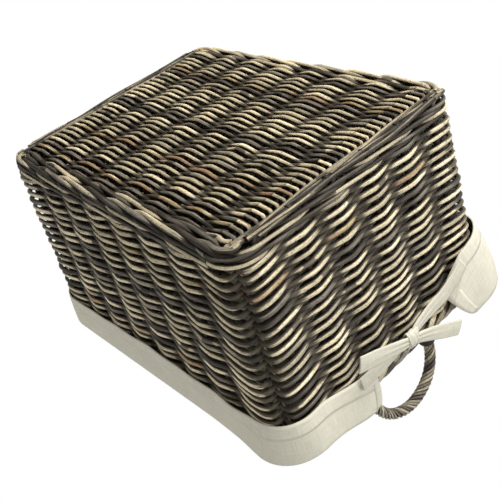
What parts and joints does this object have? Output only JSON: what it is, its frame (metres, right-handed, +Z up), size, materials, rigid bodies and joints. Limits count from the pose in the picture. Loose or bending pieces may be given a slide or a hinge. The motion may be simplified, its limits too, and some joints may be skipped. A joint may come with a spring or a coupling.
{
  "type": "lined willow laundry basket",
  "caption": "Rectangular woven willow laundry basket with roped ear handles and a pale cloth liner, its cuff turned over the rim and tied.",
  "frame": {"origin": "centre of the basket's footprint on the surface that it stands on", "axes": "+X along the basket's length, towards the right handle; +Y towards the back; +Z up towards the rim"},
  "size_m": [0.5644, 0.426, 0.3873],
  "materials": {
    "willow_weave": "brushed willow rods, grey wash worn to straw on the ridges, satin",
    "willow_stake": "dark grey washed willow, satin",
    "willow_dark": "dark grey smooth willow skin, satin",
    "willow_wale": "pale worn willow rods, satin",
    "willow_border": "willow rods, grey wash worn to straw, satin",
    "linen": "undyed cotton-linen canvas, plain weave, matt",
    "linen_hem": "undyed cotton-linen canvas, folded and stitched, matt"
  },
  "bodies": {
    "basket": {"base_stick_1": "willow_stake", "base_stick_2": "willow_stake", "base_stick_3": "willow_stake", "base_stick_4": "willow_stake", "base_stick_5": "willow_stake", "base_stick_6": "willow_stake", "base_stick_7": "willow_stake", "base_stick_8": "willow_stake", "base_weave": "willow_weave", "base_edge_rods_left": "willow_wale", "base_edge_rods_right": "willow_wale", "base_edge_wale_front": "willow_wale", "base_edge_wale_back": "willow_wale", "upsett_wale": "willow_wale", "stakes_front": "willow_stake", "stakes_right": "willow_stake", "stakes_back": "willow_stake", "stakes_left": "willow_stake", "side_weave_front": "willow_weave", "side_weave_right": "willow_weave", "side_weave_back": "willow_weave", "side_weave_left": "willow_weave", "corner_weave_front_right": "willow_weave", "corner_weave_back_right": "willow_weave", "corner_weave_back_left": "willow_weave", "corner_weave_front_left": "willow_weave", "rim_border": "willow_border", "handle_core_left": "willow_stake", "handle_core_right": "willow_stake", "handle_wrap_left": "willow_border", "handle_wrap_right": "willow_border", "handle_collars_left": "willow_dark", "handle_collars_right": "willow_dark"},
    "liner": {"liner_floor_panel": "linen", "liner_front_panel": "linen", "liner_right_panel": "linen", "liner_back_panel": "linen", "liner_left_panel": "linen", "liner_corner_seams": "linen_hem", "liner_cuff_front": "linen", "liner_cuff_back": "linen", "cuff_hem_front": "linen_hem", "cuff_hem_back": "linen_hem", "slot_hems_left": "linen_hem", "slot_hems_right": "linen_hem", "tie_front_left": "linen_hem", "tie_back_left": "linen_hem", "tie_front_right": "linen_hem", "tie_back_right": "linen_hem", "knot_left": "linen_hem", "knot_right": "linen_hem"}
  },
  "joints": [
    {"name": "liner_lift", "type": "slide", "parent": "basket", "child": "liner", "axis": [0, 0, 1], "range_m": [0, 0.36]}
  ]
}
